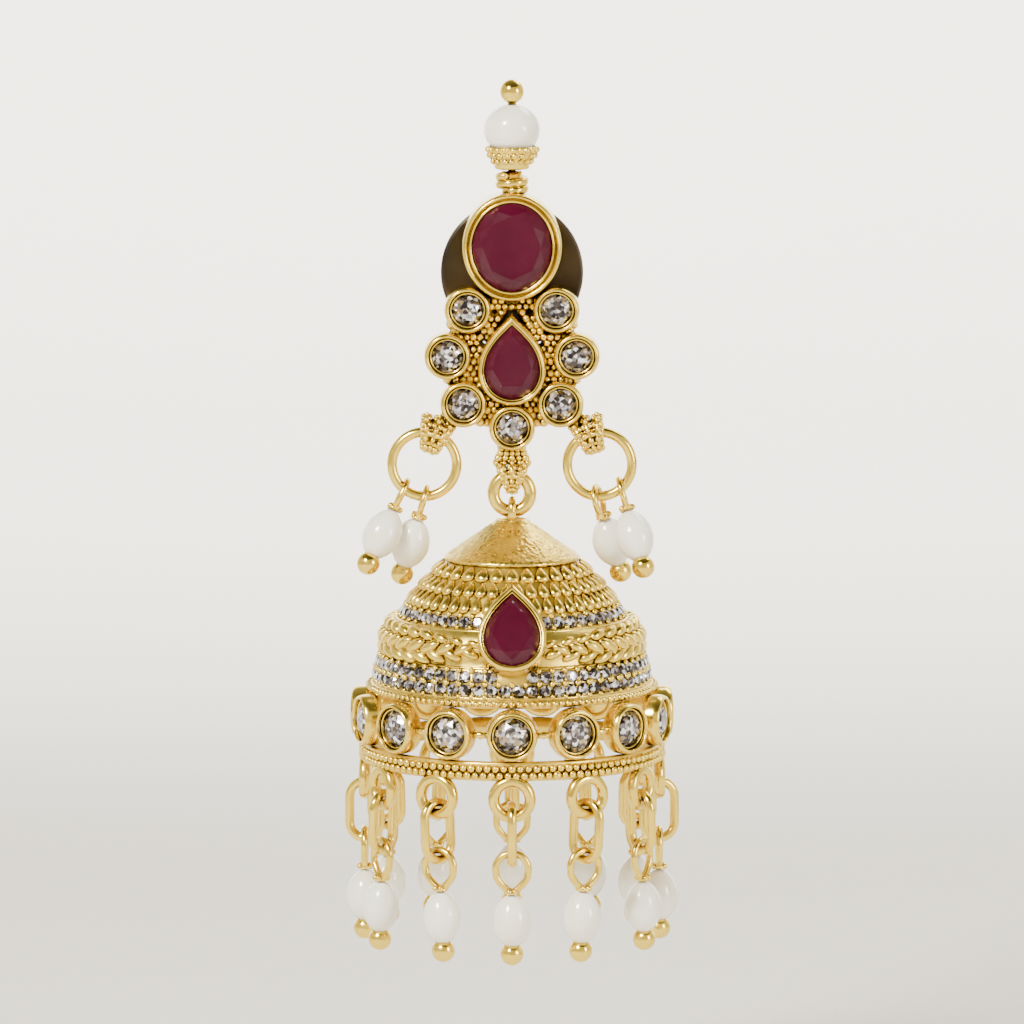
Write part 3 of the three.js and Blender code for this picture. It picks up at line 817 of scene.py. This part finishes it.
def bell_shell():
    """The wall: smooth inside, stepped outside, open below; the drum's windows are left free."""
    rows = [
        (0.0, -15.85), (0.9, -15.85), (1.25, -16.05), (2.7, -16.98), (3.95, -17.85), (4.05, -18.0),
        (4.45, -18.35), (5.35, -19.25), (6.2, -20.25), (6.6, -20.8), (6.95, -21.5),
        (7.5, -21.75), (7.95, -22.4), (8.05, -23.2), (7.95, -23.8), (8.3, -24.1), (8.5, -24.8),
        (8.55, -25.6), (8.82, -25.7), (8.98, -25.82), (9.02, -26.0), (8.98, -26.15), (8.9, -26.22), (8.8, -26.2),
        (7.9, -24.6), (7.3, -22.6), (5.9, -20.6), (3.6, -18.2), (0.0, -16.9),
    ]
    return shifted(lathe(rows[::-1], 180), y=BELL_Y)


def bell_cone():
    """The plain cone over the shell, dented all over in fine stipple, with a collar and a rolled lip."""
    steps, sides = 40, 300
    top, low = (1.30, -15.76), (4.12, -17.7)
    rows = [(0.0, -15.92), (0.70, -15.90), (0.80, -15.62), (0.92, -15.47), (1.04, -15.48), (1.14, -15.60)]
    rows += [(top[0] + (low[0] - top[0]) * s, top[1] + (low[1] - top[1]) * s) for s in np.linspace(0, 1, steps)]
    rows += [(4.24, -17.8), (4.3, -17.92), (4.22, -18.02), (3.9, -18.0), (1.2, -16.25), (0.0, -16.2)]
    points, faces = lathe(rows[::-1], sides)
    dents = RNG.uniform(-0.025, 0.025, len(points))
    reach = np.hypot(points[:, 0], points[:, 1])
    outer = (reach > top[0] + 0.02) & (reach < low[0] - 0.02) & (points[:, 2] > top[1] - 0.64 * (reach - top[0]) - 0.3)
    points[:, 2] += np.where(outer, dents, 0.0)
    return shifted((points, faces), y=BELL_Y)


def rim_band():
    rows = [(8.9, -29.5), (9.25, -29.45), (9.45, -29.55), (9.42, -29.7), (9.3, -30.1), (9.42, -30.5), (9.4, -30.65),
            (9.1, -30.7), (8.85, -30.6)]
    return shifted(lathe(rows[::-1], 180, closed=True), y=BELL_Y)


def rim_beads():
    places = []
    for r, z, size, count in ((9.42, -29.9, 0.255, 116), (9.46, -30.33, 0.255, 116), (9.0, -25.95, 0.22, 126)):
        for i in range(count):
            grain = size * (1 + 0.06 * RNG.standard_normal())
            m = on_bell(TAU * (i + 0.5 * (z < -30)) / count, r, z)
            places.append(m @ at(scale=(grain,) * 3))
    return copies(ball(1.0, 10, 6), places)


def teardrop():
    """One raised drop of metal, point up, on its own little foot."""
    rows = []
    for part in np.linspace(0, 1, 9):
        width = math.sin(math.pi * part ** 0.62) ** 0.8 if 0 < part < 1 else 0.0
        rows.append((width, part))
    return lathe(rows, 10)


def teardrop_rows():
    places = []
    for r_top, z_top, r_low, z_low, count in ((4.35, -18.05, 5.15, -18.95, 31), (5.1, -18.9, 6.0, -19.8, 44),
                                               (5.9, -19.7, 6.7, -20.75, 52)):
        slope = math.atan2(r_low - r_top, z_top - z_low)
        length = math.hypot(r_low - r_top, z_top - z_low)
        wide = TAU * r_low / count * 0.5
        for i in range(count):
            phi = TAU * (i + 0.5 * (count == 44)) / count
            m = on_bell(phi, r_low - 0.06, z_low, slope)
            places.append(m @ at(scale=(0.92 * wide, min(0.9 * wide, 0.26), length * 1.04)))
    return copies(teardrop(), places)


def pave_rows():
    """Rows of small stones: radius, height, lean of the wall, stone radius, stones in the row."""
    return [(6.86, -21.15, 0.55, 0.40, 50), (8.42, -24.35, 0.28, 0.40, 62), (8.62, -25.17, 0.10, 0.40, 64)]


def small_stone():
    t = np.arange(32) * TAU / 32
    return cut_stone(lambda: np.stack([np.cos(t), np.sin(t)], -1), 0.0, 0.42, 0.6, 0.84, 6, 0.5)


def in_front_pear(phi, z):
    """True where the bell's own pear setting covers the wall."""
    turned = (phi + math.pi) % TAU - math.pi
    half = 0.30 if z > -23.6 else (0.11 if z > -24.6 else 0.0)
    return abs(turned) < half


def pave_stones():
    places = []
    for r, z, slope, size, count in pave_rows():
        for i in range(count):
            phi = TAU * (i + 0.5) / count
            if not in_front_pear(phi, z):
                spin = turn("y", RNG.uniform(0, TAU)) @ turn("x", RNG.normal(0, 0.06))
                places.append(on_bell(phi, r, z, slope) @ spin @ at(scale=(size,) * 3))
    return copies(small_stone(), places)


def pave_beads():
    """Grain beads at the corners of the small stones."""
    places = []
    for r, z, slope, size, count in pave_rows():
        for i in range(count):
            for lift in (-1, 1):
                phi = TAU * i / count
                if not in_front_pear(phi, z):
                    m = on_bell(phi, r, z, slope) @ at(0, 0, lift * 0.40)
                    places.append(m @ at(scale=(0.19,) * 3))
    return copies(ball(1.0, 10, 6), places)


def leaf_strokes():
    """Two wings of plaited leaves sweep away from the pear and meet again at the back."""
    leaf = ball(1.0, 14, 10)
    count = 19
    rows = ((-22.02, 7.66, 0.62, 1.25, 0.74, 0.0), (-22.76, 8.04, 0.16, 2.05, 0.86, 0.5),
            (-23.42, 8.04, -0.22, 1.08, 0.84, 0.1))
    places = []
    for side in (-1, 1):
        for i in range(count):
            for z, r, slope, lean, length, late in rows:
                phi = 0.31 + (math.pi - 0.38) * (i + late) / (count - 0.5)
                taper = max(0.0, 1 - (i + late) / 3.5)
                squeezed = z + taper * (-22.7 - z) * 0.7
                size = 1 - 0.25 * taper
                m = on_bell(side * phi, r, squeezed, slope) @ turn("y", side * lean)
                places.append(m @ at(scale=(0.41 * size, 0.46, length * size)))
    return copies(leaf, places)


def leaf_edges():
    """Plain wires that edge the leaf band above and below."""
    t = np.linspace(0, TAU, 240, endpoint=False)
    parts = []
    for r, z, wire in ((7.25, -21.68, 0.12), (8.02, -23.88, 0.13), (8.66, -25.66, 0.13)):
        path = np.stack([r * np.sin(t), BELL_Y - r * np.cos(t), np.full(len(t), z)], -1)
        parts.append(tube(path, wire, 8))
    return parts


def bell_pear_frame():
    return at(0, BELL_Y - BELL_PEAR["reach"], BELL_PEAR["z"]) @ turn("x", -BELL_PEAR["lean"])


def bell_pear_setting():
    outline = pear_outline(PEAR["length"] / 2)
    parts = [bezel(outline, 1.2, -PEAR["depth"], 0.40), slab(outline, 1.2, -0.5, 0.1)]
    return [moved(part, bell_pear_frame()) for part in parts]


def drum_settings():
    """Fifteen round cups stand side by side, joined by short bars, with open windows between."""
    outline = ellipse_outline(0, 0, DRUM["radius"], DRUM["radius"], 40)
    deep = DRUM["outer"] - DRUM["inner"]
    parts = [bezel(outline, 0.0, -deep, 0.46, 0.34), slab(outline, 0.0, -0.4, 0.1)]
    cup = join(parts)
    turns = [TAU * i / DRUM["count"] for i in range(DRUM["count"])]
    cups = copies(cup, [on_bell(phi, DRUM["inner"], DRUM["z"]) for phi in turns])
    bar = moved(lathe([(0, -0.62), (0.19, -0.62), (0.19, -0.2), (0.27, 0.0), (0.19, 0.2), (0.19, 0.62), (0, 0.62)], 12), turn("y", math.pi / 2))
    half = math.pi / DRUM["count"]
    bars = copies(bar, [on_bell(phi + half, 9.45, DRUM["z"]) for phi in turns])
    return [cups, bars]


def drum_stones():
    t = np.arange(32) * TAU / 32
    stone = cut_stone(lambda: np.stack([1.13 * np.cos(t), 1.13 * np.sin(t)], -1), 0.0, 0.42, 0.58, 0.84, 8, 0.5)
    turns = [TAU * i / DRUM["count"] for i in range(DRUM["count"])]
    return copies(stone, [on_bell(phi, DRUM["outer"] - 0.49, DRUM["z"]) for phi in turns])


def rim_loops():
    loop = wire_loop(2 * (LOOP_R + LOOP_WIRE), 2 * (LOOP_R + LOOP_WIRE), LOOP_WIRE, 14, 40)
    return copies(loop, [on_bell(TAU * i / FRINGE_COUNT, FRINGE_R, LOOP_Z) for i in range(FRINGE_COUNT)])


def bell_eye():
    radius, wire = 0.73, 0.24
    loop = moved(wire_loop(2 * (radius + wire), 2 * (radius + wire), wire, 12, 32), turn("z", math.pi / 2))
    return shifted(loop, y=HANG_Y, z=BAIL[2] - BAIL_R)


# ---- Building -------------------------------------------------------------------------------

def build_stud():
    make_piece("backing_disc", [lobe_disc()], DARK, "stud", ("lobe_disc",))
    make_piece("ear_post", [ear_post()], GOLD, "stud", ("lobe_disc",))
    make_piece("push_back_clutch", [push_back()], GOLD, "stud", ("push_back",))
    make_piece("stud_settings", stud_settings(), GOLD, "stud", ("stud_frame",))
    make_piece("stud_granules", stud_granules(), GRAIN_GOLD, "stud", ("stud_frame",))
    make_piece("neck_coil", neck_coil(), GOLD, "stud", ("stud_frame",))
    knots = [wrapped_knot(0, BAIL[2], BAIL_R, BAIL_WIRE, 0.0, 0.40, 0.19, 0.16), centre_link(), *side_knots()]
    make_piece("knots", knots, GRAIN_GOLD, "stud", ("stud_frame",))
    make_piece("bead_cap_cup", [bead_cap()], GOLD, "stud", ("bead_cap",))
    make_piece("bead_cap_grains", [bead_cap_grains()], GRAIN_GOLD, "stud", ("bead_cap",))
    make_piece("round_pearl", [top_pearl()], PEARL, "stud", ("top_pearl",))
    make_piece("head_pin", [top_pin()], GOLD, "stud", ("top_pin",))
    oval = cut_stone(ellipse_outline(0, OVAL["z"], 2.5, 2.78, 64), OVAL["front"] + 0.32, 0.5, 0.72, 0.87, 8, 1.0)
    make_piece("ruby_oval", [oval], RUBY, "stud", ("stone_oval",), smooth=False)
    seat = BEZEL_BACK - PEAR["depth"] + 0.3
    outline = pear_outline(PEAR_TIP_Z)
    pear = cut_stone(lambda: outline(0.40), seat, 0.42, 0.7, 0.86, 9, 0.9)
    make_piece("ruby_pear", [pear], RUBY, "stud", ("stone_pear",), smooth=False)
    for i, (x, z) in enumerate(ROUND_SEATS, 1):
        stone = cut_stone(ellipse_outline(x, z, 0.99, 0.99, 32), ROUND_FRONT + 0.47, 0.42, 0.56, 0.83, 8, 0.8)
        make_piece(f"crystal_{i}", [stone], CRYSTAL, "stud", (f"stone_round_{i}",), smooth=False)
    for side, node in ((-1, "side_ring_l"), (1, "side_ring_r")):
        across = 2 * (SIDE_RING["radius"] + SIDE_RING["wire"])
        ring = shifted(wire_loop(across, across, SIDE_RING["wire"], 16, 72), side * SIDE_RING["x"], HANG_Y, SIDE_RING["z"])
        make_piece(node + "_wire", [ring], GOLD, "stud", (node,))
    side_drops()


def build_bell():
    across = 2 * (BAIL_R + BAIL_WIRE)
    bail = shifted(wire_loop(across, across, BAIL_WIRE, 18, 56), *BAIL)
    make_piece("bail_ring_wire", [bail], GOLD, "bail", ("bail_ring",))
    dome = ("bell_dome",)
    make_piece("bell_shell", [bell_shell(), rim_band()], SATIN_GOLD, "bell", dome)
    make_piece("bell_cone", [bell_cone()], STIPPLED_GOLD, "bell", dome)
    make_piece("bell_teardrops", [teardrop_rows()], GRAIN_GOLD, "bell", dome)
    make_piece("bell_leaves", [leaf_strokes(), *leaf_edges()], GRAIN_GOLD, "bell", dome)
    make_piece("bell_grains", [rim_beads(), pave_beads()], GRAIN_GOLD, "bell", dome)
    make_piece("bell_settings", [*bell_pear_setting(), *drum_settings(), rim_loops(), bell_eye()],
               GOLD, "bell", dome)
    make_piece("bell_pave", [pave_stones()], CRYSTAL, "bell", dome, smooth=False)
    make_piece("bell_drum_stones", [drum_stones()], CRYSTAL, "bell", dome, smooth=False)
    outline = pear_outline(PEAR["length"] / 2)
    stone = cut_stone(lambda: outline(0.40), -PEAR["depth"] + 0.3, 0.42, 0.7, 0.86, 9, 0.9)
    make_piece("ruby_pear_bell", [moved(stone, bell_pear_frame())], RUBY, "bell", ("bell_pear",), smooth=False)
    fringe()


# ---- Stage ----------------------------------------------------------------------------------

def stage():
    """A pale round floor that curves up into a wall all round, wide enough for every camera."""
    floor_z, flat, curve, height = CAD_BOX[0][2] - 0.014, 0.45, 0.15, 0.6
    turns = np.linspace(0, math.pi / 2, 24)
    rows = [(0.0, floor_z)]
    rows += [(flat + curve * math.sin(a), floor_z + curve * (1 - math.cos(a))) for a in turns]
    rows.append((flat + curve, floor_z + height))
    points, faces = lathe(rows, 96)
    mesh = bpy.data.meshes.new("floor")
    mesh.from_pydata(points.tolist(), [], [face.tolist() for group in faces for face in group])
    for polygon in mesh.polygons:
        polygon.use_smooth = True
    floor = bpy.data.objects.new("floor", mesh)
    bpy.context.scene.collection.objects.link(floor)
    material, tree, shader = new_material("pale_floor")
    shader.inputs["Base Color"].default_value = (0.84, 0.81, 0.74, 1.0)
    shader.inputs["Roughness"].default_value = 0.6
    mesh.materials.append(material)


def lamp(name, place, target, size, power, color=(1, 1, 1), spread=180):
    data = bpy.data.lights.new(name, "AREA")
    data.shape = "RECTANGLE"
    data.size, data.size_y = size
    data.energy = power
    data.color = color
    data.spread = math.radians(spread)
    light = bpy.data.objects.new(name, data)
    light.location = place
    light.visible_camera = False
    light.rotation_euler = (target - light.location).to_track_quat("-Z", "Y").to_euler()
    bpy.context.scene.collection.objects.link(light)


KEY_W, FILL_W, BACK_W, DROP_W, WORLD_W = 2.4, 0.6, 0.3, 5.5, 0.4


def lights_and_camera():
    low, high = CAD_BOX
    centre = Vector((0.0, HANG_Y * MM, (low[2] + high[2]) / 2))
    lamp("key", Vector((-0.16, -0.22, 0.20)), centre, (0.08, 0.08), KEY_W, (1.0, 0.97, 0.92))
    lamp("fill", Vector((0.24, -0.18, 0.05)), centre, (0.06, 0.13), FILL_W, (1.0, 0.95, 0.88))
    lamp("back", Vector((0.10, 0.14, 0.18)), centre, (0.14, 0.08), BACK_W)
    lamp("backdrop", Vector((0.0, 0.12, 0.36)), Vector((0.0, 0.55, 0.05)), (0.5, 0.1), DROP_W, spread=110)
    world = bpy.data.worlds.new("studio")
    world.use_nodes = True
    tree = world.node_tree
    toward = tree.nodes.new("ShaderNodeTexCoord")
    split = tree.nodes.new("ShaderNodeSeparateXYZ")
    tree.links.new(toward.outputs["Generated"], split.inputs["Vector"])
    front_to_back = span(tree, split.outputs["Y"], -1.0, 1.0, 0.0, 1.0)
    tint = ramp(tree, front_to_back, [(0.0, (0.07, 0.062, 0.055)), (0.38, (0.30, 0.285, 0.26)), (0.75, (0.95, 0.93, 0.89))])
    tree.links.new(tint.outputs["Color"], tree.nodes["Background"].inputs["Color"])
    tree.nodes["Background"].inputs["Strength"].default_value = WORLD_W
    bpy.context.scene.world = world
    camera = bpy.data.cameras.new("camera")
    camera.lens = 235
    camera.sensor_width = 36
    view = bpy.data.objects.new("camera", camera)
    elevation, distance = math.radians(7), 0.42
    view.location = centre + Vector((0, -distance * math.cos(elevation), distance * math.sin(elevation)))
    view.rotation_euler = (centre - view.location).to_track_quat("-Z", "Y").to_euler()
    camera.clip_start = 0.01
    bpy.context.scene.collection.objects.link(view)
    bpy.context.scene.camera = view


build_stud()
build_bell()
stage()
lights_and_camera()
